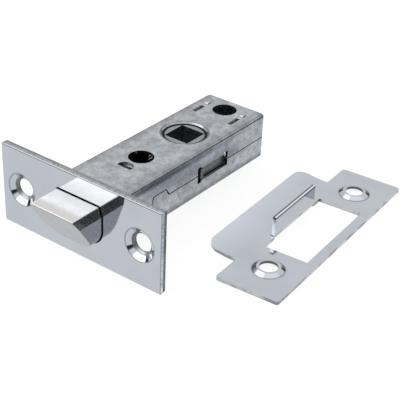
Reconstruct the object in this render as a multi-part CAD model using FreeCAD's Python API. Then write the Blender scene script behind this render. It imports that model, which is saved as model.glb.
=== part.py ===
import FreeCAD, Part
import math
import os

# Door latch: a tubular mortice latch and its strike plate.
# Millimetres. X runs along the forend, Y from the forend into the door, Z along the spindle.
# The origin is the centre of the forend's seat, its back face, on the axis of the latch bolt.

# Forend
forend_length = 55.0
forend_height = 24.0
forend_plate_thick = 1.0
forend_back_thick = 1.0
forend_back_inset = 0.05
forend_corner = 0.25
forend_arris = 0.15
forend_screw_centres = 41.0
screw_hole_dia = 5.2
countersink_dia = 9.4
countersink_depth = 1.6

# Places along the door, measured from the forend's front face
backset = 44.0
through_centres = 38.0
case_depth = 69.2

# Case
case_width = 20.6
case_thick = 14.4
case_wall = 0.8
case_bend = 1.1
seam_height = -0.3
seam_gap = 0.3
seam_step_front = 15.6
seam_step_length = 5.6
seam_step_top = 1.75
seam_step_slope = 1.3
seam_front_height = -2.0
through_hole_dia = 7.2
hole_rim = 0.45
case_seat_gap = 0.05

# Windows in the sides of the case, where the retractor's lugs run
window_front = 35.2
window_rear = 49.0
window_top = 1.7
window_bottom = -2.3
window_slot_width = 1.5
window_slot_extra = 0.5
window_notch_width = 1.6
window_notch_extra = 0.6

# Half-round lance that holds the spring stop
lance_place = 16.2
lance_radius = 2.4
lance_drop = 0.55
lug_gap = 0.12

# Slots over the return springs
spring_slot_length = 7.72
spring_slot_width = 1.3

# Latch bolt
bolt_projection = 10.1
bolt_travel = 9.0
bolt_width = 16.4
bolt_top = 5.8
bolt_bottom = -6.1
bolt_facet_width = 0.95
bolt_facet_height = 2.7
bolt_top_corner = 0.4
bolt_bottom_corner = 5.0
bolt_bevel_foot = 2.4
bolt_nose_round = 0.3
bolt_tail_end = 4.6
aperture_gap = 0.35
bolt_slot_width = 5.8
bolt_slot_front = -1.9

# Latch spring, in a bore in the bolt
latch_spring_height = 1.0
latch_spring_dia = 4.4
latch_spring_wire = 0.55
latch_spring_turns = 8
latch_spring_bore = 5.0
latch_spring_bore_end = -5.0
spring_stop_thick = 1.0
spring_stop_width = 5.0
stop_shoulder = 4.2
stop_lug_width = 1.6
stop_lug_sunk = 0.5

# Bolt tails and retractor, folded from steel strip
strip_thick = 0.8
side_gap = 0.3
run_gap = 0.3
tail_top = 5.4
tail_bottom = 3.7
tail_foot = -4.6
tail_end = 30.0
hook_length = 1.4
hook_depth = 1.4
rivet_dia = 2.2
rivet_head_dia = 3.4
rivet_head_thick = 0.6
rivet_height = 3.0
rivet_place = 5.6
retractor_bend = 0.9
retractor_top = 2.0
retractor_cross_width = 1.5
retractor_slot_width = 13.0
retractor_catch = 1.3
retractor_pad_inner = 6.35
retractor_pad_thick = 1.0
retractor_rear_thick = 0.8
retractor_rear_inner = 4.8
guide_lug_place = 36.6
guide_lug_width = 1.2
guide_lug_top = 1.3
guide_lug_bottom = -1.9
guide_lug_sunk = 0.1

# Follower
spindle_square = 8.0
follower_spigot_dia = 12.4
follower_hole_dia = 12.6
follower_recess = 0.6
follower_edge = 0.25
follower_collar_dia = 14.0
follower_collar_gap = 0.4
flange_gap = 0.35
follower_core_dia = 12.0
lobe_radius = 8.7
lobe_tip_radius = 0.6
lobe_root_width = 3.4
lobe_half_height = 2.3
lobe_rest_angle = 35.0
lobe_gap = 0.55
lobe_lag = 0.15

# Return springs and their seats
return_spring_dia = 4.2
return_spring_wire = 0.5
return_spring_turns = 5
return_spring_place = 6.4
return_spring_height = -1.2
seat_thick = 0.8
seat_setback = 5.1
seat_width = 4.0
seat_lug_length = 3.1
seat_peen_length = 1.6
seat_peen_proud = 0.45
seat_peen_round = 0.4

# Strike plate, face down beside the latch
strike_length = 70.6
strike_width = 18.7
strike_thick = 1.0
strike_corner = 0.8
strike_lip_length = 50.4
strike_lip_reach = 9.6
strike_lip_radius = 36.0
strike_lip_corner = 3.5
strike_opening_length = 31.0
strike_opening_width = 13.3
strike_opening_edge = 2.65
strike_tongue_front = -9.9
strike_tongue_rear = 12.0
strike_tongue_height = 6.0
strike_bend = 0.5
strike_heel_radius = 0.9
strike_screw_centres = 48.4
strike_dimple_dia = 8.8
strike_dimple_rise = 0.9
strike_dimple_rim = 0.7
strike_sink_inset = 0.2
strike_sink_land = 0.8
strike_place_x = 31.8
strike_place_y = 47.7
strike_turn = 3.4

# How far a cut reaches past a face, and the sides that stand for a spring's round wire
over = 1.0
wire_sides = 8

# Worked out from the sizes above
forend_thick = forend_plate_thick + forend_back_thick
forend_front = -forend_thick
plate_back = -forend_back_thick
follower_place = backset - forend_thick
front_hole_place = follower_place - through_centres / 2
rear_hole_place = follower_place + through_centres / 2
case_rear = case_depth - forend_thick
half_width = case_width / 2
half_thick = case_thick / 2
inner_half_width = half_width - case_wall
inner_half_thick = half_thick - case_wall
floor_height = -forend_height / 2
strip_outer = inner_half_width - side_gap
strip_inner = strip_outer - strip_thick
stop_front = lance_place + lug_gap
lobe_centre = lobe_radius - lobe_tip_radius
lobe_rest_place = follower_place - lobe_centre * math.sin(math.radians(lobe_rest_angle))
lobe_lean = math.radians(lobe_rest_angle)
lobe_root_half = lobe_root_width / 2
pad_on_lobe = retractor_pad_inner / math.cos(lobe_lean) / lobe_centre
flank_half = lobe_root_half + (lobe_tip_radius - lobe_root_half) * pad_on_lobe
flank_place = follower_place - retractor_pad_inner * math.tan(lobe_lean) + flank_half / math.cos(lobe_lean)
pad_front = flank_place + lobe_gap
lobe_cut_front = lobe_rest_place - lobe_tip_radius - run_gap - lobe_lag
retractor_bottom = run_gap - inner_half_thick
retractor_floor = retractor_bottom + strip_thick
cross_rear = front_hole_place - through_hole_dia / 2 - run_gap - bolt_travel
cross_front = cross_rear - retractor_cross_width
collar_reach = follower_collar_dia / 2 + flange_gap
retractor_rear_front = follower_place + math.sqrt(collar_reach ** 2 - retractor_rear_inner ** 2)
retractor_rear = retractor_rear_front + retractor_rear_thick
retractor_front = tail_end - hook_length - run_gap - retractor_catch
hook_bottom = tail_bottom - hook_depth
seat_rear = case_rear - seat_setback
seat_front = seat_rear - seat_thick
strike_hole_x = strike_opening_edge + strike_opening_width / 2


def vec(x, y, z):
    return FreeCAD.Vector(x, y, z)


def block(x0, x1, y0, y1, z0, z1):
    """A box between two corners."""
    return Part.makeBox(x1 - x0, y1 - y0, z1 - z0, vec(x0, y0, z0))


def post(x, y, radius, z0, z1):
    """An upright cylinder."""
    return Part.makeCylinder(radius, z1 - z0, vec(x, y, z0))


def rod(x, z, radius, y0, y1):
    """A cylinder along Y."""
    return Part.makeCylinder(radius, y1 - y0, vec(x, y0, z), vec(0, 1, 0))


def prism_along_x(points, x0, x1):
    """A flat outline in Y and Z, pushed along X."""
    wire = Part.makePolygon([vec(x0, y, z) for y, z in points + points[:1]])
    return Part.Face(wire).extrude(vec(x1 - x0, 0, 0))


def mirrored(shape):
    return shape.mirror(vec(0, 0, 0), vec(1, 0, 0))


def whole(shape):
    """The one solid of a finished shape, with its seams cleaned."""
    solid = shape.removeSplitter()
    return solid.Solids[0] if len(solid.Solids) == 1 else solid


def spring(diameter, wire, turns, x, z, y0, y1):
    """A compression spring along Y, with its coil ends on its seats."""
    length = y1 - y0 - wire
    coil_radius = (diameter - wire) / 2
    helix = Part.makeHelix(length / turns, length, coil_radius)
    angles = [2 * math.pi * side / wire_sides for side in range(wire_sides)]
    points = [vec(coil_radius + wire / 2 * math.cos(a), 0, wire / 2 * math.sin(a)) for a in angles]
    section = Part.makePolygon(points + points[:1])
    coil = Part.Wire(helix).makePipeShell([section], True, True)
    coil.rotate(vec(0, 0, 0), vec(1, 0, 0), -90)
    coil.translate(vec(x, y0 + wire / 2, z))
    return coil


# Forend

def bolt_section(gap, y0, y1):
    """The bolt's section: flat top, sloping facets, upright sides, round below, all grown by a gap."""
    side = bolt_width / 2
    shoulder = side - bolt_facet_width
    facet_foot = bolt_top - bolt_facet_height
    outline = [(-side, bolt_bottom), (side, bolt_bottom), (side, facet_foot),
               (shoulder, bolt_top), (-shoulder, bolt_top), (-side, facet_foot)]
    wire = Part.makePolygon([vec(x, y0, z) for x, z in outline + outline[:1]])
    solid = Part.Face(wire).extrude(vec(0, y1 - y0, 0))
    for radius, height in ((bolt_top_corner, bolt_top), (bolt_bottom_corner, bolt_bottom)):
        edges = [e for e in solid.Edges if along_y(e) and abs(e.CenterOfMass.z - height) < 1e-6]
        solid = solid.makeFillet(radius, edges)
    if gap == 0:
        return solid
    section = [f for f in solid.Faces if f.BoundBox.YMax < y0 + gap][0]
    return section.makeOffset2D(gap).extrude(vec(0, y1 - y0, 0))


def along_y(edge):
    box = edge.BoundBox
    return box.XLength < 1e-6 and box.ZLength < 1e-6


def countersink(x):
    """Screw hole and countersink through both layers of the forend."""
    r = screw_hole_dia / 2
    wide = countersink_dia / 2
    cone = Part.makeCone(wide, r, countersink_depth, vec(x, forend_front, 0), vec(0, 1, 0))
    hole = rod(x, 0, r, forend_front - over, over)
    return cone.fuse(hole)


def forend_layer(length, height, y0, y1):
    layer = block(-length / 2, length / 2, y0, y1, -height / 2, height / 2)
    corners = [e for e in layer.Edges if along_y(e)]
    layer = layer.makeFillet(forend_corner, corners)
    for side in (-1, 1):
        layer = layer.cut(countersink(side * forend_screw_centres / 2))
    return layer


def forend_plate():
    """The bright outer layer, with the aperture for the bolt and a broken front arris."""
    plate = forend_layer(forend_length, forend_height, forend_front, plate_back)
    front = [e for e in plate.Edges if e.BoundBox.YMax < forend_front + over / 2]
    arris = [e for e in front if not isinstance(e.Curve, Part.Circle) or e.Curve.Radius < 2 * forend_corner]
    plate = plate.makeChamfer(forend_arris, arris)
    return plate.cut(bolt_section(aperture_gap, forend_front - over, plate_back + over))


def forend_backplate():
    """The inner layer, which holds the front end of the case."""
    inset = 2 * forend_back_inset
    plate = forend_layer(forend_length - inset, forend_height - inset, plate_back, 0)
    hole_x = half_width + case_seat_gap
    hole_z = half_thick + case_seat_gap
    return plate.cut(case_box(hole_x, hole_z, plate_back - over, case_rear, case_bend + case_seat_gap))


# Case

def case_box(half_x, half_z, front, rear, bend):
    """A closed box with bent long edges and a bent rear."""
    box = block(-half_x, half_x, front, rear, -half_z, half_z)
    edges = [e for e in box.Edges if e.CenterOfMass.y > front + over]
    return box.makeFillet(bend, edges)


def case_shell():
    """Open at the front, where it ends in the forend's inner layer."""
    inner = case_box(inner_half_width, inner_half_thick, plate_back - over, case_rear - case_wall,
                     case_bend - case_wall)
    return case_box(half_width, half_thick, plate_back, case_rear, case_bend).cut(inner)


def seam_points(shift):
    """The seam seen from the side, from the forend to the rear, moved off the lower half by a shift."""
    step_rear = seam_step_front + seam_step_length
    return [
        (plate_back - over, seam_front_height + shift),
        (seam_step_front - shift, seam_front_height + shift),
        (seam_step_front - shift, seam_step_top - seam_step_slope / 2 + shift),
        (seam_step_front + seam_step_slope / 2 - shift, seam_step_top + shift),
        (step_rear + shift, seam_step_top + shift),
        (step_rear + seam_step_slope + shift, seam_height + shift),
        (case_rear + over, seam_height + shift),
    ]


def seam_side(shift, far):
    """The room on one side of the seam, out to a far height."""
    outline = seam_points(shift) + [(case_rear + over, far), (plate_back - over, far)]
    return prism_along_x(outline, -half_width - over, half_width + over)


def upper_room():
    return seam_side(seam_gap / 2, half_thick + over)


def lower_room():
    return seam_side(-seam_gap / 2, -half_thick - over)


def side_windows():
    """The openings across the seam, with a taller slot at the front end and a notch at the rear."""
    reach = half_width + over
    opening = block(-reach, reach, window_front, window_rear, window_bottom, window_top)
    slot_rear = window_front + window_slot_width
    slot = block(-reach, reach, window_front, slot_rear,
                 window_bottom - window_slot_extra, window_top + window_slot_extra)
    notch = block(-reach, reach, window_rear - window_notch_width, window_rear,
                  window_bottom, window_top + window_notch_extra)
    return opening.fuse(slot).fuse(notch)


def case_holes():
    """Holes for the follower and the bolt-through screws."""
    reach = half_thick + over
    hub = follower_hole_dia / 2
    cut = post(0, follower_place, hub, -reach, reach)
    for y in (front_hole_place, rear_hole_place):
        cut = cut.fuse(post(0, y, through_hole_dia / 2, -reach, reach))
    for side in (-1, 1):
        cut = cut.fuse(Part.makeCone(hub + hole_rim, hub, hole_rim,
                                     vec(0, follower_place, side * half_thick), vec(0, 0, -side)))
    return cut


def spring_slots():
    """Slots along the return springs, which also hold the lugs of their seats."""
    reach = half_thick + over
    cut = None
    for side in (-1, 1):
        x = side * return_spring_place
        half = spring_slot_width / 2
        slot_rear = seat_rear + lug_gap
        slot = block(x - half, x + half, slot_rear - spring_slot_length, slot_rear, -reach, reach)
        cut = slot if cut is None else cut.fuse(slot)
    return cut


def half_disc(z0, z1, y_from):
    disc = post(0, lance_place, lance_radius, z0, z1)
    keep = block(-lance_radius, lance_radius, y_from, lance_place + 2 * lance_radius, z0, z1)
    return disc.common(keep)


def lance(shell):
    """Presses the half-round tab down behind the spring stop, in the upper wall."""
    tab_front = stop_front + spring_stop_thick + lug_gap
    sunk = half_thick - lance_drop
    below = inner_half_thick - over
    shell = shell.cut(half_disc(sunk, half_thick + over, lance_place))
    shell = shell.cut(half_disc(below, half_thick, lance_place).cut(half_disc(below, half_thick, tab_front)))
    return shell.fuse(half_disc(inner_half_thick - lance_drop, sunk, tab_front))


def case_half(room):
    shell = case_shell()
    for cut in (side_windows(), case_holes(), spring_slots()):
        shell = shell.cut(cut)
    return whole(lance(shell).common(room))


def case_upper():
    return case_half(upper_room())


def case_lower():
    return case_half(lower_room())


# Latch bolt

def bolt_side():
    """The bolt from the side: square behind, with the closing bevel up to a rounded nose."""
    nose = forend_front - bolt_projection
    foot = forend_front - bolt_bevel_foot
    points = [(nose, bolt_top), (bolt_tail_end, bolt_top), (bolt_tail_end, bolt_bottom), (foot, bolt_bottom)]
    side = prism_along_x(points, -bolt_width / 2, bolt_width / 2)
    edge = [e for e in side.Edges if e.BoundBox.YMax < nose + 0.01]
    return side.makeFillet(bolt_nose_round, edge)


def latch_head():
    head = bolt_section(0, forend_front - bolt_projection, bolt_tail_end).common(bolt_side())
    half = bolt_slot_width / 2
    cut_end = bolt_tail_end + over
    head = head.cut(block(-half, half, bolt_slot_front, cut_end, bolt_bottom - over, bolt_top + over))
    bore = rod(0, latch_spring_height, latch_spring_bore / 2, latch_spring_bore_end, bolt_slot_front + over)
    head = head.cut(bore)
    relief_front = cross_front - bolt_travel - run_gap
    relief_top = retractor_floor + run_gap
    head = head.cut(block(-bolt_width, bolt_width, relief_front, cut_end, bolt_bottom - over, relief_top))
    for side in (-1, 1):
        for z in (-rivet_height, rivet_height):
            head = head.fuse(stud(side * rivet_place, z))
    return whole(head)


def stud(x, z):
    """A cast stud, upset behind the tail's foot."""
    foot_rear = bolt_tail_end + strip_thick
    shank = rod(x, z, rivet_dia / 2, bolt_tail_end - over, foot_rear)
    cap = rod(x, z, rivet_head_dia / 2, foot_rear, foot_rear + rivet_head_thick)
    return shank.fuse(cap)


def latch_tail_right():
    """Foot on the bolt, arm along the case wall, and a hook turned down behind the retractor's catch."""
    foot_inner = bolt_slot_width / 2 + run_gap
    foot_rear = bolt_tail_end + strip_thick
    foot = block(foot_inner, strip_outer, bolt_tail_end, foot_rear, tail_foot, tail_top)
    arm = block(strip_inner, strip_outer, bolt_tail_end, tail_end, tail_bottom, tail_top)
    hook = block(strip_inner, strip_outer, tail_end - hook_length, tail_end, hook_bottom, tail_bottom)
    tail = foot.fuse(arm).fuse(hook)
    for z in (-rivet_height, rivet_height):
        tail = tail.cut(rod(rivet_place, z, rivet_dia / 2, bolt_tail_end - over, foot_rear + over))
    return whole(tail)


def latch_tail_left():
    return mirrored(latch_tail_right())


def spring_stop():
    """A plate behind the bolt that hangs by its narrow lug in the lance, clear of the retractor's floor."""
    half = spring_stop_width / 2
    lug = stop_lug_width / 2
    rear = stop_front + spring_stop_thick
    plate = block(-half, half, stop_front, rear, retractor_floor + run_gap, stop_shoulder)
    return whole(plate.fuse(block(-lug, lug, stop_front, rear, 0, half_thick - stop_lug_sunk)))


def latch_spring():
    return spring(latch_spring_dia, latch_spring_wire, latch_spring_turns, 0, latch_spring_height,
                  latch_spring_bore_end, stop_front)


# Follower and retractor

def lobe(angle):
    """A tapered arm that ends in a small round tip, before it is turned to its rest place."""
    root = lobe_root_half
    tip = lobe_tip_radius
    points = [vec(0, -root, 0), vec(lobe_centre, -tip, 0), vec(lobe_centre, tip, 0), vec(0, root, 0)]
    face = Part.Face(Part.makePolygon(points + points[:1]))
    arm = face.extrude(vec(0, 0, 2 * lobe_half_height))
    arm = arm.fuse(post(lobe_centre, 0, tip, 0, 2 * lobe_half_height))
    arm.translate(vec(0, 0, -lobe_half_height))
    arm.rotate(vec(0, 0, 0), vec(0, 0, 1), angle)
    return arm


def follower():
    top = half_thick - follower_recess
    collar_top = inner_half_thick - follower_collar_gap
    collar_foot = retractor_floor + run_gap
    collar_bottom = lobe_half_height + follower_collar_gap
    hub = post(0, 0, follower_spigot_dia / 2, -top, top)
    rims = [e for e in hub.Edges if abs(abs(e.CenterOfMass.z) - top) < 1e-3 and e.BoundBox.ZLength < 1e-6]
    hub = hub.makeChamfer(follower_edge, rims)
    middle = post(0, 0, follower_collar_dia / 2, -collar_bottom, collar_bottom)
    hub = hub.cut(middle).fuse(post(0, 0, follower_core_dia / 2, -collar_bottom, collar_bottom))
    for low, high in ((collar_bottom, collar_top), (collar_foot, -collar_bottom)):
        hub = hub.fuse(post(0, 0, follower_collar_dia / 2, low, high))
    for angle in (-lobe_rest_angle, 180 + lobe_rest_angle):
        hub = hub.fuse(lobe(angle))
    half = spindle_square / 2
    hub = hub.cut(block(-half, half, -half, half, -case_thick, case_thick))
    hub.translate(vec(0, follower_place, 0))
    return whole(hub)


def retractor_arm():
    """The right arm: a catch for the bolt's tail, a pad for the lobe and a flange for the return spring."""
    arm = block(strip_inner, strip_outer, retractor_front, retractor_rear, retractor_floor, retractor_top)
    catch_rear = retractor_front + retractor_catch
    catch = block(strip_inner, strip_outer, retractor_front, catch_rear, retractor_top, tail_bottom - run_gap)
    pad = block(retractor_pad_inner, strip_inner, pad_front, pad_front + retractor_pad_thick,
                -lobe_half_height, retractor_top)
    rear = block(retractor_rear_inner, strip_inner, retractor_rear_front, retractor_rear,
                 return_spring_height - return_spring_dia / 2 - run_gap, retractor_top)
    arm = arm.fuse(catch).fuse(pad).fuse(rear)
    lobe_room = block(strip_inner - over, strip_outer + over, lobe_cut_front, pad_front,
                      -lobe_half_height - run_gap, retractor_top + over)
    lug_rear = guide_lug_place + guide_lug_width
    lug = block(strip_outer, half_width - guide_lug_sunk, guide_lug_place, lug_rear,
                guide_lug_bottom, guide_lug_top)
    return arm.cut(lobe_room).fuse(lug)


def retractor_base():
    """The floor strip, slotted for the front through hole and the follower, with bent-up sides."""
    bend_top = retractor_floor + over
    base = block(-strip_outer, strip_outer, cross_front, retractor_rear, retractor_bottom, bend_top)
    sides = [e for e in base.Edges if along_y(e) and e.CenterOfMass.z < retractor_floor]
    base = base.makeFillet(retractor_bend, sides)
    base = base.cut(block(-half_width, half_width, 0, case_rear, retractor_floor, half_thick))
    half = retractor_slot_width / 2
    return base.cut(block(-half, half, cross_rear, case_rear, -half_thick, half_thick))


def retractor():
    """A channel pushed back by either lobe and forward by both return springs."""
    arm = retractor_arm()
    return whole(retractor_base().fuse(arm).fuse(mirrored(arm)))


def return_spring_right():
    return spring(return_spring_dia, return_spring_wire, return_spring_turns,
                  return_spring_place, return_spring_height, retractor_rear, seat_front)


def return_spring_left():
    return spring(return_spring_dia, return_spring_wire, return_spring_turns,
                  -return_spring_place, return_spring_height, retractor_rear, seat_front)


def return_spring_seat_right():
    """An upright plate behind the spring, with its lugs peened in the case slots."""
    half = seat_width / 2
    x = return_spring_place
    lug_front = seat_rear - seat_lug_length
    peen_front = seat_rear - seat_peen_length
    tall = half_thick + seat_peen_proud
    seat = block(x - half, x + half, seat_front, seat_rear, -inner_half_thick, inner_half_thick)
    lug = (spring_slot_width - lug_gap) / 2
    lugs = block(x - lug, x + lug, lug_front, seat_rear, -half_thick, half_thick)
    peens = block(x - lug, x + lug, peen_front, seat_rear, -tall, tall)
    peens = peens.makeFillet(seat_peen_round, [e for e in peens.Edges if abs(e.CenterOfMass.z) > half_thick])
    inside = block(x - half, x + half, lug_front, seat_front, -inner_half_thick, inner_half_thick)
    return whole(seat.fuse(lugs.cut(inside)).fuse(peens.cut(inside)))


def return_spring_seat_left():
    return mirrored(return_spring_seat_right())


# Strike plate, in its own frame: X across from the lip's edge, Y along, Z up from its face

def strike_outline(x0, x1, length, corner):
    plate = block(x0, x1, -length / 2, length / 2, 0, strike_thick)
    upright = [e for e in plate.Edges if e.BoundBox.ZLength > strike_thick / 2 and e.BoundBox.YLength < 1e-6]
    return plate.makeFillet(corner, upright)


def strike_lip():
    """The lip curls up away from the face."""
    inner = strike_lip_radius - strike_thick
    end = strike_lip_length / 2
    bend = rod(0, strike_lip_radius, strike_lip_radius, -end, end)
    bend = bend.cut(rod(0, strike_lip_radius, inner, -end, end))
    lip = bend.common(block(-strike_lip_reach, 0, -end, end, -over, strike_lip_radius / 2))
    edge = [e for e in lip.Edges if e.CenterOfMass.x < -strike_lip_reach + strike_thick / 2]
    return lip.makeFillet(strike_lip_corner, [e for e in edge if e.BoundBox.YLength < 1e-6])


def strike_dimple(y):
    """The pressed countersink stands up on the back."""
    x = strike_hole_x
    wide = strike_dimple_dia / 2
    r = screw_hole_dia / 2
    top = strike_thick + strike_dimple_rise
    rise = Part.makeCone(wide, r + strike_dimple_rim, strike_dimple_rise, vec(x, y, strike_thick))
    sink = Part.makeCone(wide - strike_sink_inset, r, top - strike_sink_land, vec(x, y, 0))
    return rise, sink.fuse(post(x, y, r, -over, top + over))


def strike_tongue():
    """The flap cut from the opening and bent upright along its edge."""
    inner = strike_opening_edge
    outer = inner - strike_thick
    top = strike_thick + strike_tongue_height
    tongue = block(outer, inner, strike_tongue_front, strike_tongue_rear, 0, top)
    heel = [e for e in tongue.Edges if e.BoundBox.YLength > strike_thick
            and e.CenterOfMass.x > outer + over / 2 and e.CenterOfMass.z < over / 2]
    tongue = tongue.makeFillet(strike_heel_radius, heel)
    fillet = block(outer - strike_bend, outer, strike_tongue_front, strike_tongue_rear,
                   strike_thick, strike_thick + strike_bend)
    hollow = Part.makeCylinder(strike_bend, strike_tongue_rear - strike_tongue_front,
                               vec(outer - strike_bend, strike_tongue_front, strike_thick + strike_bend),
                               vec(0, 1, 0))
    return tongue, fillet.cut(hollow)


def strike_plate():
    plate = strike_outline(0, strike_width, strike_length, strike_corner).fuse(strike_lip())
    far = strike_opening_edge + strike_opening_width
    opening = block(strike_opening_edge, far, -strike_opening_length / 2, strike_opening_length / 2,
                    -over, strike_thick + over)
    plate = plate.cut(opening)
    tongue, bend = strike_tongue()
    root = block(strike_opening_edge - strike_thick, strike_opening_edge,
                 strike_tongue_front, strike_tongue_rear, -over, strike_thick)
    plate = plate.cut(root).fuse(tongue).fuse(bend)
    for y in (-strike_screw_centres / 2, strike_screw_centres / 2):
        rise, sink = strike_dimple(y)
        plate = plate.fuse(rise).cut(sink)
    plate = whole(plate)
    plate.rotate(vec(0, 0, 0), vec(0, 0, 1), strike_turn)
    plate.translate(vec(strike_place_x, strike_place_y, floor_height))
    return plate


PIECES = {
    "forend_plate": forend_plate,
    "forend_backplate": forend_backplate,
    "case_upper": case_upper,
    "case_lower": case_lower,
    "spring_stop": spring_stop,
    "latch_head": latch_head,
    "latch_tail_left": latch_tail_left,
    "latch_tail_right": latch_tail_right,
    "latch_spring": latch_spring,
    "follower": follower,
    "retractor": retractor,
    "return_spring_left": return_spring_left,
    "return_spring_right": return_spring_right,
    "return_spring_seat_left": return_spring_seat_left,
    "return_spring_seat_right": return_spring_seat_right,
    "strike_plate": strike_plate,
}

os.makedirs("parts", exist_ok=True)
for name, make in PIECES.items():
    shape = make()
    print(name, len(shape.Solids), round(shape.Volume, 1), shape.isValid())
    shape.exportStep("parts/" + name + ".step")
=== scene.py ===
import math

import bmesh
import bpy
from mathutils import Matrix, Vector

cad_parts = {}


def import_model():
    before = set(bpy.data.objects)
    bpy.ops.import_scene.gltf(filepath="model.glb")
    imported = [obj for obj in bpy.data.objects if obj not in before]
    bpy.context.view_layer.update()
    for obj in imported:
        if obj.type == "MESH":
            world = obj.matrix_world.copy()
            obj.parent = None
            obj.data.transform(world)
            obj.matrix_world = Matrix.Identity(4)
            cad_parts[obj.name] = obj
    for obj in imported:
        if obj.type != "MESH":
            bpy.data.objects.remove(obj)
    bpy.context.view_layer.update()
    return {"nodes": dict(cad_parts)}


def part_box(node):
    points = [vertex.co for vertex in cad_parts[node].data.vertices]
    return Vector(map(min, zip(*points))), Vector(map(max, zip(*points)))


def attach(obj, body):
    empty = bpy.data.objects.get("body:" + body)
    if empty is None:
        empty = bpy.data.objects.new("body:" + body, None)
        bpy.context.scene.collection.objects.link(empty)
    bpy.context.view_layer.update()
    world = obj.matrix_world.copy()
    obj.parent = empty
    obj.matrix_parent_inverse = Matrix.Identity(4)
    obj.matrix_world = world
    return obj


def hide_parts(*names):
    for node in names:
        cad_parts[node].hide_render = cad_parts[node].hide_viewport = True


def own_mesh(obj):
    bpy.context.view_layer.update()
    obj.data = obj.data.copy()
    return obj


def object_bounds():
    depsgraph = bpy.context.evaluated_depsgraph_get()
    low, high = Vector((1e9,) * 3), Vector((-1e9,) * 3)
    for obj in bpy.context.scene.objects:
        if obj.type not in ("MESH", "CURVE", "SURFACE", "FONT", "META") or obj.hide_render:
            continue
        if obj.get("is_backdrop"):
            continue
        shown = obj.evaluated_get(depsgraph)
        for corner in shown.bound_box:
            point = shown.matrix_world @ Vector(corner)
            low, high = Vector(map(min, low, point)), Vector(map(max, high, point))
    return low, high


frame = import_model()
nodes = frame["nodes"]

MM = 0.001

# Camera, as the photograph has it
camera_azimuth = 36.14
camera_elevation = 31.16
camera_roll = 2.57
camera_distance = 285.1 * MM
camera_lens = 99.0
camera_sensor = 36.0
camera_near = 10 * MM
aim_right = 30.14 * MM
aim_up = 3.5 * MM

# Floor and light
floor_size = 6.0
floor_glow = 0.84
floor_colour = (0.30, 0.30, 0.30, 1)
white = (1, 1, 1, 1)
backdrop_white = 1.0
table_level = 0.87
table_edge = 110 * MM
room_start = 220 * MM
room_light = 0.55
key_power = 1.5
key_size = 0.5
key_place = Vector((-0.45, -0.25, 0.70))
fill_power = 0.5
fill_place = Vector((0.55, -0.60, 0.45))
belt_level = 0.04
belt_low = 0.13
belt_high = 0.30
side_level = 0.92
top_level = 1.25
top_low = 0.55
top_high = 0.85
softbox = Vector((-0.50, -0.68, 0.54))
softbox_level = 2.5
softbox_edge = 0.80
softbox_core = 0.90

# How softly a mark ends, and how a face counts as flat, cut or upright
edge_fade = 0.1 * MM
thin_fade = 0.05 * MM
flat_share = 0.9999
cut_span = (0.1, 0.3)
upright_span = (0.2, 0.3)
facing_span = (0.3, 0.7)
arris_facing = math.sqrt(0.5)
arris_reach = 0.03

# Where a noise passes from one tone to the other
wide_span = (0.3, 0.7)
middle_span = (0.35, 0.65)
smudge_span = (0.35, 0.7)
flank_span = (0.38, 0.62)
patch_span = (0.42, 0.58)
mottle_span = (0.58, 0.90)
# Where the painted corner shade passes from its darkest level to none, and how many rays find it
corner_shade_span = (0.15, 0.75)
corner_shade_samples = 8

# Tones, from dark to light
forend_tones = ((0.555, 0.58, 0.635, 1), (0.595, 0.62, 0.675, 1))
forend_side_tones = ((0.22, 0.23, 0.25, 1), (0.52, 0.54, 0.57, 1))
strike_tones = ((0.50, 0.525, 0.575, 1), (0.54, 0.565, 0.615, 1))
strike_side_tones = ((0.30, 0.315, 0.345, 1), (0.60, 0.62, 0.66, 1))
# Painted shade on the forend's broken arris
arris_shade_tone = (0.30, 0.31, 0.33, 1)
# Painted shade lines: under the forend's top edge, on the strike's hole walls and along the tongue's top
shade_line_tone = (0.12, 0.125, 0.14, 1)
# Painted highlight on the tongue's top edge
tongue_highlight_tone = (0.76, 0.78, 0.82, 1)
worn_tones = ((0.61, 0.59, 0.57, 1), (0.67, 0.65, 0.63, 1))
cast_tones = ((0.31, 0.32, 0.345, 1), (0.44, 0.45, 0.475, 1))
# Painted dark reflection on the bolt's steep flanks
flank_shade_tones = ((0.15, 0.155, 0.17, 1), (0.42, 0.43, 0.45, 1))
case_tones = ((0.32, 0.34, 0.365, 1), (0.54, 0.575, 0.615, 1))
slot_tone = (0.42, 0.435, 0.455, 1)
backplate_tones = ((0.22, 0.23, 0.245, 1), (0.36, 0.375, 0.39, 1))
oiled_tones = ((0.02, 0.02, 0.022, 1), (0.05, 0.05, 0.055, 1))
inner_tones = ((0.13, 0.137, 0.147, 1), (0.25, 0.26, 0.275, 1))
seat_tones = ((0.38, 0.395, 0.41, 1), (0.56, 0.575, 0.59, 1))
follower_tones = ((0.24, 0.25, 0.265, 1), (0.36, 0.37, 0.385, 1))
wire_tones = ((0.12, 0.12, 0.125, 1), (0.22, 0.22, 0.225, 1))

# Noises: how many to a metre, their detail and, where it isn't the usual one, their roughness
smudges = (70.0, 4.0)
forend_waves = (300.0, 2.0)
shear_grain = (2600.0, 3.0)
strike_waves = (320.0, 2.0)
strike_patches = (240.0, 3.0)
polish_lines = (900.0, 2.0)
bolt_clouds = (190.0, 5.0, 0.6)
bolt_grain = (1900.0, 3.0, 0.7)
case_clouds = (330.0, 7.0, 0.68)
case_grain = (1500.0, 3.0)
case_lines = (160.0, 4.0)
strip_clouds = (260.0, 5.0)
follower_clouds = (240.0, 3.0)
follower_grain = (1100.0, 4.0)
wire_grain = (1800.0, 3.0)
noise_rough = 0.55
grain_share = 0.45
polish_stretch = (1.0, 0.05, 14.0)
shear_stretch = (1.0, 0.25, 1.0)
draw_stretch = (14.0, 0.6, 14.0)

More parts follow.
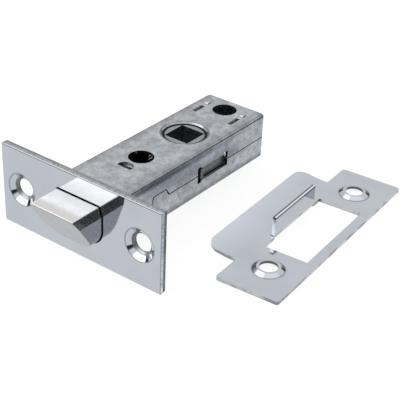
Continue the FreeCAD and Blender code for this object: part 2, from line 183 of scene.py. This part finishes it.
# Roughness, from the dark tone to the light one, and what a cut edge adds to it
forend_roughs = (0.04, 0.08)
forend_side_rough = 0.3
strike_roughs = (0.05, 0.09)
strike_side_rough = 0.2
bolt_roughs = (0.24, 0.16)
case_roughs = (0.30, 0.17)
slot_rough = 0.85
strip_roughs = (0.46, 0.30)
follower_roughs = (0.40, 0.26)
wire_roughs = (0.34, 0.22)

# Bumps: depth and strength
forend_wave_bump = (0.02 * MM, 0.05)
shear_depth = 0.02 * MM
shear_strength = 0.5
strike_wave_bump = (0.02 * MM, 0.05)
polish_bump = (0.004 * MM, 0.10)
bolt_cloud_bump = (0.06 * MM, 0.10)
bolt_grain_bump = (0.01 * MM, 0.35)
case_cloud_bump = (0.08 * MM, 0.14)
case_line_bump = (0.02 * MM, 0.20)
strip_bump = (0.05 * MM, 0.2)
follower_bump = (0.03 * MM, 0.35)
wire_bump = (0.01 * MM, 0.3)

# Painted shade in narrow gaps and corners: how far it reaches out of a corner, and the darkest level there
forend_corner_shade = (0.5 * MM, 0.10)
strike_corner_shade = (0.8 * MM, 0.12)
bolt_corner_shade = (0.5 * MM, 0.10)
case_corner_shade = (2.5 * MM, 0.25)
strip_corner_shade = (1.5 * MM, 0.25)
follower_corner_shade = (0.8 * MM, 0.25)

# Marks on the forend: a painted shade line and rings, and painted light and shade on the end faces
# Painted shade line just inside the forend's top edge
top_edge_shade_start = 0.20 * MM
top_edge_shade_end = 0.50 * MM
forend_hole = Vector((20.5, 0.0, 0.0)) * MM
sink_edge = 4.75 * MM
ring_width = 0.30 * MM
# How dark the painted shade rings are
ring_shade_level = 0.60
# Painted light on the forend's sheared edges, rising as they face along X
forend_end_light_levels = (1.08, 1.65)
# Painted shade on the backplate's end faces
backplate_end_shade = 0.62

# Marks on the strike plate, which lies turned a little beside the case: painted shade rings, walls and
# lines, a painted light gradient and a painted highlight
strike_place = Vector((31.8, 47.7, 0.0)) * MM
strike_turn = math.radians(3.4)
strike_across = Vector((math.cos(strike_turn), math.sin(strike_turn), 0.0))
strike_along = Vector((-math.sin(strike_turn), math.cos(strike_turn), 0.0))
strike_sheet_top = -11.0 * MM
strike_cut_top = strike_sheet_top + 0.2 * MM
dimple_across = 9.3 * MM
dimple_along = 24.2 * MM
dimple_foot = 4.45 * MM
dimple_side = 37.0 * MM
dimple_base = strike_sheet_top - thin_fade
lip_front = 23.0 * MM
lip_rear = 33.0 * MM
# A painted light gradient across the strike's face, a little lighter towards its lip
lip_light_levels = (1.05, 1.01)
tongue_line = 0.60 * MM
tongue_split = strike_place.dot(strike_across) + 2.05 * MM
tongue_facing = (0.4, 0.6)

# Marks on the bolt
nose_place = -12.0 * MM
forend_place = -2.0 * MM
worn_levels = (1.13, 0.84)
worn_facing = (0.8, 0.9)
# Where the bolt's flanks take the painted dark reflection
flank_facing = (0.85, 0.90)
flank_upward = (0.15, 0.25)

# Marks on the case, most of them painted light and shade
case_top = 7.2 * MM
# Where the top darkens towards the side bends
edge_dark_start = 7.2 * MM
edge_dark_end = 8.6 * MM
edge_dark_level = 0.80
# Painted shade on the top near the forend
front_shade_end = 7.0 * MM
front_shade_level = 0.72
# A band of painted shade under the bend, and a band of painted light below it, lighter towards the front
band_low = 4.3 * MM
band_high = 5.2 * MM
band_front = 20.0 * MM
band_rear = 50.0 * MM
band_shade_dims = (-0.45, -0.10)
side_light_low = 0.5 * MM
side_light_high = 3.5 * MM
side_light_rear = 62.0 * MM
side_light_level = 1.6
bend_start = 6.1 * MM
foot_height = 1.7 * MM
# Painted shade at the foot of the sides
foot_shade_level = 0.50
# A painted dark reflection on the bends
bend_facing = 0.86
bend_reach = (0.08, 0.12)
bend_shade_level = 0.72
top_facing = (0.5, 0.7)
hub_place = Vector((0.0, 42.0, 0.0)) * MM
rim_start = 6.78 * MM
rim_end = 7.08 * MM
rim_level = 0.8
# Painted shade in a line round the follower's hole
rim_shade_dim = 0.55
# Painted shade on the window edges
window_reach = 9.4 * MM
window_facing = (-0.95, -0.9)
window_shade_dim = 0.8
# Painted shade for the lance's slit
lance_front = 16.2 * MM
lance_reach = 2.2 * MM
lance_slit = 0.55 * MM
lance_shade_dim = 0.94
slot_inner = 5.0 * MM
slot_outer = 8.0 * MM
slot_start = 50.0 * MM
slot_depth = 1.0 * MM

# Marks on the follower: painted shade
hub_radius = 6.2 * MM
hub_line = 0.55 * MM
hub_shade_level = 0.12
hub_facing = (0.3, 0.6)
square_shade_level = 0.80

# Springs
spring_sides = 12
spring_steps = 28
return_spring_wire = 0.5 * MM
return_spring_turns = 5
latch_spring_wire = 0.55 * MM
latch_spring_turns = 8
latch_spring_split = 0.5


# Nodes

def node(tree, kind, inputs=None, **options):
    """Adds a node, with its options and its inputs set or linked."""
    made = tree.nodes.new(kind)
    for key, value in options.items():
        setattr(made, key, value)
    for key, value in (inputs or {}).items():
        if isinstance(value, bpy.types.NodeSocket):
            tree.links.new(value, made.inputs[key])
        else:
            made.inputs[key].default_value = value
    return made


def place(tree):
    """Coordinates that stay with the piece, in metres."""
    return node(tree, "ShaderNodeTexCoord").outputs["Object"]


def axes(tree):
    """The place along each axis, in metres."""
    return node(tree, "ShaderNodeSeparateXYZ", {"Vector": place(tree)}).outputs


def facing(tree):
    """The parts of the face's plain normal."""
    true = node(tree, "ShaderNodeNewGeometry").outputs["True Normal"]
    return node(tree, "ShaderNodeSeparateXYZ", {"Vector": true}).outputs


def stretched(tree, scale):
    return node(tree, "ShaderNodeMapping", {"Vector": place(tree), "Scale": scale}).outputs["Vector"]


def noise(tree, where, scale, detail, rough=noise_rough):
    made = node(tree, "ShaderNodeTexNoise",
                {"Vector": where, "Scale": scale, "Detail": detail, "Roughness": rough})
    return made.outputs["Fac"]


def math_node(tree, operation, *values):
    return node(tree, "ShaderNodeMath", dict(enumerate(values)), operation=operation).outputs[0]


def absolute(tree, value):
    return math_node(tree, "ABSOLUTE", value)


def product(tree, first, second):
    return math_node(tree, "MULTIPLY", first, second)


def topped(tree, value, share, base):
    """A share of a value on top of a base."""
    return math_node(tree, "MULTIPLY_ADD", value, share, base)


def dimmed(tree, mark, share):
    """The level 1, less a share where a mark is."""
    return topped(tree, mark, -share, 1.0)


def ranged(tree, value, low, high, to_low, to_high):
    made = node(tree, "ShaderNodeMapRange", {"Value": value, "From Min": low, "From Max": high,
                                             "To Min": to_low, "To Max": to_high})
    return made.outputs["Result"]


def graded(tree, value, low, high, first, second):
    """Passes softly from one level to another as a value rises."""
    made = node(tree, "ShaderNodeMapRange", {"Value": value, "From Min": low, "From Max": high,
                                             "To Min": first, "To Max": second},
                interpolation_type="SMOOTHSTEP")
    return made.outputs["Result"]


def beyond(tree, value, edge, fade=edge_fade):
    """0 before an edge and 1 after it."""
    return ranged(tree, value, edge, edge + fade, 0.0, 1.0)


def before(tree, value, edge, fade=edge_fade):
    """1 before an edge and 0 after it."""
    return ranged(tree, value, edge, edge + fade, 1.0, 0.0)


def mixed(tree, factor, first, second):
    return node(tree, "ShaderNodeMix", {0: factor, 2: first, 3: second}).outputs[0]


def blended(tree, factor, first, second):
    """A colour between two others."""
    made = node(tree, "ShaderNodeMix", {0: factor}, data_type="RGBA")
    for socket, value in zip(made.inputs[6:8], (first, second)):
        if isinstance(value, bpy.types.NodeSocket):
            tree.links.new(value, socket)
        else:
            socket.default_value = value
    return made.outputs[2]


def toned(tree, value, span, tones):
    """Passes from the dark tone to the light one as a value crosses a span."""
    return blended(tree, ranged(tree, value, *span, 0.0, 1.0), *tones)


def scaled(tree, tone, level):
    """A tone times a level."""
    return node(tree, "ShaderNodeVectorMath", {0: tone, 1: level}, operation="MULTIPLY").outputs[0]


def distance(tree, first, second, centre):
    """How far a place is from a centre, along two of the axes."""
    spot = axes(tree)
    flat = node(tree, "ShaderNodeCombineXYZ", {first: spot[first], second: spot[second]}).outputs[0]
    return node(tree, "ShaderNodeVectorMath", {0: flat, 1: centre}, operation="DISTANCE").outputs["Value"]


def bumped(tree, height, depth, strength, normal):
    made = node(tree, "ShaderNodeBump", {"Height": height, "Distance": depth,
                                         "Strength": strength, "Normal": normal})
    return made.outputs["Normal"]


def flat_faces(tree):
    """The smooth normal, but the plain one on faces square to an axis, so that they stay flat."""
    geometry = node(tree, "ShaderNodeNewGeometry")
    true = geometry.outputs["True Normal"]
    sizes = node(tree, "ShaderNodeVectorMath", {0: true}, operation="ABSOLUTE").outputs[0]
    parts = node(tree, "ShaderNodeSeparateXYZ", {"Vector": sizes}).outputs
    largest = math_node(tree, "MAXIMUM", math_node(tree, "MAXIMUM", parts[0], parts[1]), parts[2])
    square = math_node(tree, "GREATER_THAN", largest, flat_share)
    made = node(tree, "ShaderNodeMix", {0: square, 4: geometry.outputs["Normal"], 5: true},
                data_type="VECTOR")
    return made.outputs[1]


def shaded_corners(tree, tone, reach, darkest):
    """Painted shade: darkens a tone in narrow gaps and corners, where less light reaches."""
    shade = node(tree, "ShaderNodeAmbientOcclusion", {"Distance": reach}, samples=corner_shade_samples)
    return scaled(tree, tone, ranged(tree, shade.outputs["AO"], *corner_shade_span, darkest, 1.0))


def metal(name):
    """A new metal material, its node tree and its shader."""
    made = bpy.data.materials.new(name)
    made.use_nodes = True
    tree = made.node_tree
    shader = tree.nodes["Principled BSDF"]
    shader.inputs["Metallic"].default_value = 1.0
    return made, tree, shader


def connect(tree, shader, tone, rough, normal):
    tree.links.new(tone, shader.inputs["Base Color"])
    tree.links.new(rough, shader.inputs["Roughness"])
    tree.links.new(normal, shader.inputs["Normal"])


# Kinds of face

def sheared(tree, axis):
    """1 on the cut edges of a sheet that lies across an axis, 0 on its faces."""
    return ranged(tree, absolute(tree, facing(tree)[axis]), *cut_span, 1.0, 0.0)


def upright(tree):
    """1 on the faces that stand upright."""
    return ranged(tree, absolute(tree, facing(tree)["Z"]), *upright_span, 1.0, 0.0)


def arris(tree):
    """1 on the broken arris, which lies at 45 degrees to the forend's face and takes painted shade."""
    return math_node(tree, "COMPARE", absolute(tree, facing(tree)["Y"]), arris_facing, arris_reach)


# Painted light and shade on the forend and the strike plate

def top_edge_shade(tree):
    """1 on a thin line just inside the forend's top edge, which takes a painted shade line."""
    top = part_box("forend_plate")[1][2]
    inside = math_node(tree, "SUBTRACT", top, axes(tree)["Z"])
    return ranged(tree, inside, top_edge_shade_start, top_edge_shade_end, 1.0, 0.0)


def shade_ring(tree, away, radius):
    """A level that paints a thin ring of shade at a radius."""
    off = absolute(tree, math_node(tree, "SUBTRACT", away, radius))
    return ranged(tree, off, ring_width / 2, ring_width / 2 + edge_fade, ring_shade_level, 1.0)


def sink_shade_rings(tree):
    """A level that paints a ring of shade round each screw hole of the forend."""
    away = math_node(tree, "MINIMUM", distance(tree, "X", "Z", forend_hole),
                     distance(tree, "X", "Z", -forend_hole))
    return shade_ring(tree, away, sink_edge)


def dimple_shade_rings(tree):
    """A level that paints a ring of shade round each pressed screw hole of the strike plate."""
    middle = strike_place + dimple_across * strike_across
    reach = dimple_along * strike_along
    return product(tree, shade_ring(tree, distance(tree, "X", "Y", middle - reach), dimple_foot),
                   shade_ring(tree, distance(tree, "X", "Y", middle + reach), dimple_foot))


def dimple_wall_shade(tree):
    """1 on the walls of the strike plate's screw holes, above the sheet, which take painted shade."""
    spot = axes(tree)
    out = beyond(tree, spot["X"], dimple_side)
    above = beyond(tree, spot["Z"], dimple_base)
    return product(tree, upright(tree), product(tree, out, above))


def tongue_edge_lighting(tree, tone):
    """A cut edge along the top of the tongue, half painted highlight and half painted shade, with a painted
    shade line below it.
    """
    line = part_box("strike_plate")[1][2] - tongue_line
    near = beyond(tree, axes(tree)["Z"], line - thin_fade, thin_fade)
    upward = ranged(tree, facing(tree)["Z"], *tongue_facing, 0.0, 1.0)
    across = node(tree, "ShaderNodeVectorMath", {0: place(tree), 1: strike_across},
                  operation="DOT_PRODUCT").outputs["Value"]
    bright = product(tree, upward, beyond(tree, across, tongue_split))
    return blended(tree, near, tone, blended(tree, bright, shade_line_tone, tongue_highlight_tone))


# Marks on the case and the follower, most of them painted light and shade

def side_shading(tree, spot):
    """A level for the case's sides: a painted shade band below the bend, a band of painted light under it,
    lighter towards the front, and painted shade at the foot.
    """
    upper = ranged(tree, spot["Z"], band_low, band_high, 0.0, 1.0)
    band = topped(tree, upper, ranged(tree, spot["Y"], band_front, band_rear, *band_shade_dims), 1.0)
    side_light = ranged(tree, spot["Y"], band_front, side_light_rear, side_light_level, 1.0)
    height = ranged(tree, spot["Z"], side_light_low, side_light_high, 0.0, 1.0)
    below = dimmed(tree, upper, 1.0)
    lift = mixed(tree, product(tree, height, below), 1.0, side_light)
    foot = ranged(tree, spot["Z"], -bend_start, -bend_start + foot_height, foot_shade_level, 1.0)
    return product(tree, product(tree, band, lift), foot)


def case_shading(tree):
    """A level for the case: the top darkens beside the bends and, as painted shade, at the front; the bends
    take a painted dark reflection, and the sides their painted light and shade.
    """
    spot = axes(tree)
    upward = absolute(tree, facing(tree)["Z"])
    beside = ranged(tree, absolute(tree, spot["X"]), edge_dark_start, edge_dark_end, 1.0, edge_dark_level)
    front = ranged(tree, spot["Y"], 0.0, front_shade_end, front_shade_level, 1.0)
    top = product(tree, beside, front)
    off = absolute(tree, math_node(tree, "SUBTRACT", upward, bend_facing))
    bent = ranged(tree, off, *bend_reach, bend_shade_level, 1.0)
    level = mixed(tree, ranged(tree, upward, *top_facing, 0.0, 1.0), side_shading(tree, spot), top)
    return product(tree, level, bent)


def hole_shading(tree):
    """A level for the case: a painted shade line round the follower's hole, a darker rim, and painted shade
    on the window edges.
    """
    away = distance(tree, "X", "Y", hub_place)
    outside = beyond(tree, away, rim_start - thin_fade, thin_fade)
    line = product(tree, before(tree, away, rim_end), outside)
    rim = mixed(tree, outside, rim_level, 1.0)
    cut = ranged(tree, facing(tree)["Y"], *window_facing, 1.0, 0.0)
    out = beyond(tree, absolute(tree, axes(tree)["X"]), window_reach)
    edge = dimmed(tree, product(tree, cut, out), window_shade_dim)
    return product(tree, product(tree, rim, dimmed(tree, line, rim_shade_dim)), edge)


def lance_shade(tree):
    """A level for the case: a slit of painted shade along the front of the lance."""
    spot = axes(tree)
    raised = beyond(tree, spot["Z"], case_top - edge_fade - thin_fade)
    across = before(tree, absolute(tree, spot["X"]), lance_reach, 2 * edge_fade)
    ahead = beyond(tree, spot["Y"], lance_front - lance_slit - edge_fade)
    behind = before(tree, spot["Y"], lance_front)
    slit = product(tree, product(tree, raised, across), product(tree, behind, ahead))
    return dimmed(tree, slit, lance_shade_dim)


def slot_wall(tree):
    """1 on the cut walls of the two rear slots, which are dull."""
    spot = axes(tree)
    aside = absolute(tree, spot["X"])
    across = product(tree, beyond(tree, aside, slot_inner), before(tree, aside, slot_outer))
    behind = beyond(tree, spot["Y"], slot_start)
    high = beyond(tree, spot["Z"], case_top - slot_depth)
    return product(tree, product(tree, upright(tree), across), product(tree, behind, high))


def hub_shading(tree):
    """A level for the follower: a painted shade line round its rim, and a square darkened with painted
    shade.
    """
    line = hub_radius - hub_line
    rim = ranged(tree, distance(tree, "X", "Y", hub_place), line - edge_fade, line, 1.0, hub_shade_level)
    square = ranged(tree, absolute(tree, facing(tree)["Z"]), *hub_facing, square_shade_level, 1.0)
    return product(tree, rim, square)


# Materials

def forend_chrome():
    """Chrome on the face and its broken arris, with duller and rougher sheared edges; painted shade on the
    arris, under the top edge and round the holes, and painted light on the end faces.
    """
    made, tree, shader = metal("forend_chrome")
    where = place(tree)
    cloud = noise(tree, where, *smudges)
    grain = noise(tree, stretched(tree, shear_stretch), *shear_grain)
    side = sheared(tree, "Y")
    face_tone = toned(tree, cloud, middle_span, forend_tones)
    face_tone = blended(tree, top_edge_shade(tree), face_tone, shade_line_tone)
    face_tone = scaled(tree, face_tone, sink_shade_rings(tree))
    # The broken arris takes painted shade
    face_tone = blended(tree, arris(tree), face_tone, arris_shade_tone)
    side_tone = toned(tree, grain, middle_span, forend_side_tones)
    # Painted light: the sheared end faces are lighter the more they face along X
    ends = ranged(tree, absolute(tree, facing(tree)["X"]), *facing_span, *forend_end_light_levels)
    side_tone = scaled(tree, side_tone, ends)
    tone = shaded_corners(tree, blended(tree, side, face_tone, side_tone), *forend_corner_shade)
    dull = ranged(tree, cloud, *smudge_span, *forend_roughs)
    rough = topped(tree, side, forend_side_rough, dull)
    soft = bumped(tree, noise(tree, where, *forend_waves), *forend_wave_bump, flat_faces(tree))
    fine = bumped(tree, grain, shear_depth, product(tree, side, shear_strength), soft)
    connect(tree, shader, tone, rough, fine)
    return made


def chrome_plate():
    """Bright chrome: a clear mirror with faint smudges, polishing lines and uneven sheared edges; painted
    shade round and in the screw holes, a painted light gradient towards the lip and a painted highlight and
    shade along the tongue's top.
    """
    made, tree, shader = metal("chrome_plate")
    where = place(tree)
    spot = axes(tree)
    cloud = noise(tree, where, *smudges)
    patch = noise(tree, where, *strike_patches)
    lines = noise(tree, stretched(tree, polish_stretch), *polish_lines)
    side = product(tree, sheared(tree, "Z"), before(tree, spot["Z"], strike_cut_top))
    face_tone = toned(tree, cloud, middle_span, strike_tones)
    # Painted light: a gradient across the face towards the lip
    face_tone = scaled(tree, face_tone, ranged(tree, spot["X"], lip_front, lip_rear, *lip_light_levels))
    face_tone = scaled(tree, face_tone, dimple_shade_rings(tree))
    side_tone = toned(tree, patch, patch_span, strike_side_tones)
    tone = tongue_edge_lighting(tree, blended(tree, side, face_tone, side_tone))
    tone = blended(tree, dimple_wall_shade(tree), tone, shade_line_tone)
    tone = shaded_corners(tree, tone, *strike_corner_shade)
    dull = ranged(tree, cloud, *smudge_span, *strike_roughs)
    rough = topped(tree, side, strike_side_rough, dull)
    soft = bumped(tree, noise(tree, where, *strike_waves), *strike_wave_bump, flat_faces(tree))
    fine = bumped(tree, lines, *polish_bump, soft)
    connect(tree, shader, tone, rough, fine)
    return made


def bolt_plate():
    """Chrome on a casting: a pale linished top, and greyer sides with the cast speckle in them; the steep
    flanks carry a painted dark reflection.
    """
    made, tree, shader = metal("bolt_plate")
    where = place(tree)
    cloud = noise(tree, where, *bolt_clouds)
    grain = noise(tree, where, *bolt_grain)
    top = ranged(tree, facing(tree)["Z"], *worn_facing, 0.0, 1.0)
    steep = product(tree, ranged(tree, facing(tree)["X"], *flank_facing, 0.0, 1.0),
                    ranged(tree, facing(tree)["Z"], *flank_upward, 0.0, 1.0))
    worn = toned(tree, cloud, wide_span, worn_tones)
    worn = scaled(tree, worn, ranged(tree, axes(tree)["Y"], nose_place, forend_place, *worn_levels))
    cast = toned(tree, grain, middle_span, cast_tones)
    flank_shade = toned(tree, grain, flank_span, flank_shade_tones)
    tone = blended(tree, top, blended(tree, steep, cast, flank_shade), worn)
    tone = shaded_corners(tree, tone, *bolt_corner_shade)
    dull = ranged(tree, cloud, *wide_span, *bolt_roughs)
    soft = bumped(tree, cloud, *bolt_cloud_bump, flat_faces(tree))
    fine = bumped(tree, grain, *bolt_grain_bump, soft)
    connect(tree, shader, tone, dull, fine)
    return made


def zinc_case():
    """Bright zinc on pressed steel: fine soft mottling and draw marks along the case, with painted light
    and shade on its faces and bends and painted shade in its corners.
    """
    made, tree, shader = metal("zinc_case")
    where = place(tree)
    cloud = noise(tree, where, *case_clouds)
    draw = noise(tree, stretched(tree, draw_stretch), *case_lines)
    mottle = topped(tree, noise(tree, where, *case_grain), grain_share, cloud)
    # Painted light and shade on the top, bends and sides, round the follower's hole, on the window edges
    # and at the lance
    marks = product(tree, case_shading(tree), product(tree, lance_shade(tree), hole_shading(tree)))
    tone = scaled(tree, toned(tree, mottle, mottle_span, case_tones), marks)
    walls = slot_wall(tree)
    tone = blended(tree, walls, shaded_corners(tree, tone, *case_corner_shade), slot_tone)
    dull = mixed(tree, walls, ranged(tree, cloud, *wide_span, *case_roughs), slot_rough)
    soft = bumped(tree, cloud, *case_cloud_bump, flat_faces(tree))
    fine = bumped(tree, draw, *case_line_bump, soft)
    connect(tree, shader, tone, dull, fine)
    return made


def zinc_steel(name, tones, end_shade=1.0):
    """Plain zinc plate on strip, between two tones. Faces across the forend take their own level of painted
    shade.
    """
    made, tree, shader = metal(name)
    cloud = noise(tree, place(tree), *strip_clouds)
    # Painted shade on faces across the forend, where a level below 1 is given
    ends = ranged(tree, absolute(tree, facing(tree)["X"]), *facing_span, 1.0, end_shade)
    tone = scaled(tree, toned(tree, cloud, wide_span, tones), ends)
    tone = shaded_corners(tree, tone, *strip_corner_shade)
    dull = ranged(tree, cloud, *wide_span, *strip_roughs)
    soft = bumped(tree, cloud, *strip_bump, flat_faces(tree))
    connect(tree, shader, tone, dull, soft)
    return made


def zinc_casting():
    """The follower's cast skin, with a fine grain, and painted shade round its rim and in its square."""
    made, tree, shader = metal("zinc_casting")
    where = place(tree)
    grain = noise(tree, where, *follower_grain)
    cloud = noise(tree, where, *follower_clouds)
    tone = scaled(tree, toned(tree, cloud, wide_span, follower_tones), hub_shading(tree))
    tone = shaded_corners(tree, tone, *follower_corner_shade)
    dull = ranged(tree, grain, *wide_span, *follower_roughs)
    soft = bumped(tree, grain, *follower_bump, flat_faces(tree))
    connect(tree, shader, tone, dull, soft)
    return made


def spring_steel():
    """Drawn wire with a fine grain."""
    made, tree, shader = metal("spring_steel")
    grain = noise(tree, place(tree), *wire_grain)
    tone = toned(tree, grain, wide_span, wire_tones)
    dull = ranged(tree, grain, *wide_span, *wire_roughs)
    smooth = node(tree, "ShaderNodeNewGeometry").outputs["Normal"]
    connect(tree, shader, tone, dull, bumped(tree, grain, *wire_bump, smooth))
    return made


def dress(piece, finish):
    piece.data.materials.clear()
    piece.data.materials.append(finish)


def dress_nodes():
    """Gives each solid its finish."""
    case = zinc_case()
    inner = zinc_steel("zinc_steel", inner_tones)
    seat = zinc_steel("zinc_seat", seat_tones)
    finishes = {
        "forend_plate": forend_chrome(),
        "forend_backplate": zinc_steel("zinc_backplate", backplate_tones, backplate_end_shade),
        "strike_plate": chrome_plate(),
        "latch_head": bolt_plate(),
        "latch_tail_left": inner,
        "latch_tail_right": inner,
        "retractor": inner,
        "follower": zinc_casting(),
        "case_upper": case,
        "case_lower": case,
        "spring_stop": zinc_steel("zinc_oiled", oiled_tones),
        "return_spring_seat_left": seat,
        "return_spring_seat_right": seat,
    }
    for name, finish in finishes.items():
        dress(nodes[name], finish)


# Springs

def helix_point(turn, radius, length, wire, turns):
    """A point on the coil's middle line, with its end coils closed."""
    share = turn / turns
    closed = 1.0 / turns
    rise = min(max((share - closed / 2) / (1 - closed), 0.0), 1.0)
    along = wire / 2 + rise * (length - wire)
    angle = 2 * math.pi * turn
    return Vector((radius * math.cos(angle), along, radius * math.sin(angle)))


def wire_mesh(name, points, first, last, centre, wire):
    """A round wire along some of a coil's points, with a flat end each side."""
    mesh = bmesh.new()
    rings = []
    for i in range(first, last + 1):
        ahead = points[min(i + 1, len(points) - 1)] - points[max(i - 1, 0)]
        out = Vector((points[i].x, 0, points[i].z)).normalized()
        side = ahead.normalized().cross(out)
        ring = []
        for k in range(spring_sides):
            angle = 2 * math.pi * k / spring_sides
            offset = wire / 2 * (out * math.cos(angle) + side * math.sin(angle))
            ring.append(mesh.verts.new(centre + points[i] + offset))
        rings.append(ring)
    for ring, after in zip(rings, rings[1:]):
        for k in range(spring_sides):
            beside = (k + 1) % spring_sides
            mesh.faces.new((ring[k], ring[beside], after[beside], after[k])).smooth = True
    mesh.faces.new(rings[0][::-1])
    mesh.faces.new(rings[-1])
    bmesh.ops.recalc_face_normals(mesh, faces=mesh.faces[:])
    data = bpy.data.meshes.new(name)
    mesh.to_mesh(data)
    mesh.free()
    return data


def coil(name, cad_node, wire, turns, finish, body, start=0.0, end=1.0):
    """A smooth wire in the place of a plain spring, or of a share of it, which moves with a body."""
    low, high = (Vector(corner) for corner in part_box(cad_node))
    centre = Vector(((low.x + high.x) / 2, low.y, (low.z + high.z) / 2))
    radius = (high.x - low.x - wire) / 2
    length = high.y - low.y
    steps = spring_steps * turns
    points = [helix_point(i / spring_steps, radius, length, wire, turns) for i in range(steps + 1)]
    data = wire_mesh(name, points, round(start * steps), round(end * steps), centre, wire)
    made = bpy.data.objects.new(name, data)
    bpy.context.scene.collection.objects.link(made)
    dress(made, finish)
    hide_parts(cad_node)
    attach(made, body)
    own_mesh(made)


def springs(finish):
    """Smooth coils for the springs: the return coils and the light spring's rear half move with the case,
    its front half with the retractor.
    """
    for side in ("left", "right"):
        coil("return_coil_" + side, "return_spring_" + side, return_spring_wire, return_spring_turns,
             finish, "case")
    coil("latch_coil_front", "latch_spring", latch_spring_wire, latch_spring_turns,
         finish, "retractor", end=latch_spring_split)
    coil("latch_coil_rear", "latch_spring", latch_spring_wire, latch_spring_turns,
         finish, "case", start=latch_spring_split)


# Surroundings

def floor():
    """A white floor that keeps a soft shadow. To the metal it is a white table in a darker room."""
    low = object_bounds()[0]
    bpy.ops.mesh.primitive_plane_add(size=floor_size, location=(0, 0, low[2]))
    plane = bpy.context.object
    plane.name = "floor"
    made = bpy.data.materials.new("floor")
    made.use_nodes = True
    tree = made.node_tree
    tree.nodes.clear()
    paper = node(tree, "ShaderNodeBsdfDiffuse", {"Color": floor_colour})
    glow = node(tree, "ShaderNodeEmission", {"Color": white, "Strength": floor_glow})
    both = node(tree, "ShaderNodeAddShader", {0: paper.outputs[0], 1: glow.outputs[0]})
    away = node(tree, "ShaderNodeVectorMath", {0: place(tree)}, operation="LENGTH").outputs["Value"]
    level = graded(tree, away, table_edge, room_start, table_level, belt_level)
    table = node(tree, "ShaderNodeEmission", {"Strength": level})
    rays = node(tree, "ShaderNodeLightPath")
    seen = node(tree, "ShaderNodeMixShader", {0: rays.outputs["Is Glossy Ray"], 1: both.outputs[0],
                                              2: table.outputs[0]})
    node(tree, "ShaderNodeOutputMaterial", {"Surface": seen.outputs[0]})
    plane.data.materials.append(made)
    plane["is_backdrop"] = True


def room():
    """A white room for the camera. The metal also sees a dark belt at the horizon and one soft box."""
    world = bpy.data.worlds.new("room")
    bpy.context.scene.world = world
    world.use_nodes = True
    tree = world.node_tree
    tree.nodes.clear()
    rays = node(tree, "ShaderNodeLightPath").outputs
    where = node(tree, "ShaderNodeTexCoord").outputs["Generated"]
    height = node(tree, "ShaderNodeSeparateXYZ", {"Vector": where}).outputs["Z"]
    toward = node(tree, "ShaderNodeVectorMath", {0: where, 1: softbox.normalized()},
                  operation="DOT_PRODUCT").outputs["Value"]
    above = graded(tree, height, top_low, top_high, side_level, top_level)
    clear = graded(tree, height, belt_low, belt_high, 0.0, 1.0)
    lit = graded(tree, toward, softbox_edge, softbox_core, 0.0, 1.0)
    gloss = mixed(tree, lit, mixed(tree, clear, belt_level, above), softbox_level)
    seen = math_node(tree, "MAXIMUM", rays["Is Camera Ray"], rays["Is Transmission Ray"])
    plain = mixed(tree, rays["Is Glossy Ray"], room_light, gloss)
    level = mixed(tree, seen, plain, backdrop_white)
    light = node(tree, "ShaderNodeBackground", {"Color": white, "Strength": level})
    node(tree, "ShaderNodeOutputWorld", {"Surface": light.outputs[0]})


def lamp(name, power, size, spot):
    data = bpy.data.lights.new(name, "AREA")
    data.energy = power
    data.size = size
    made = bpy.data.objects.new(name, data)
    made.location = spot
    made.rotation_euler = spot.to_track_quat("Z", "Y").to_euler()
    made.visible_glossy = False
    bpy.context.scene.collection.objects.link(made)


def camera():
    """The photograph's view, a little to the right of the forend and above it."""
    turn = Matrix.Rotation(math.radians(camera_azimuth), 4, "Z")
    tip = Matrix.Rotation(math.radians(90 - camera_elevation), 4, "X")
    roll = Matrix.Rotation(math.radians(camera_roll), 4, "Z")
    view = turn @ tip @ roll
    data = bpy.data.cameras.new("camera")
    data.sensor_width = camera_sensor
    data.lens = camera_lens
    data.clip_start = camera_near
    made = bpy.data.objects.new("camera", data)
    spot = view @ Vector((aim_right, aim_up, camera_distance))
    made.matrix_world = Matrix.Translation(spot) @ view
    bpy.context.scene.collection.objects.link(made)
    bpy.context.scene.camera = made


dress_nodes()
springs(spring_steel())
floor()
room()
lamp("key", key_power, key_size, key_place)
lamp("fill", fill_power, key_size, fill_place)
camera()
bpy.context.scene.view_settings.view_transform = "Standard"
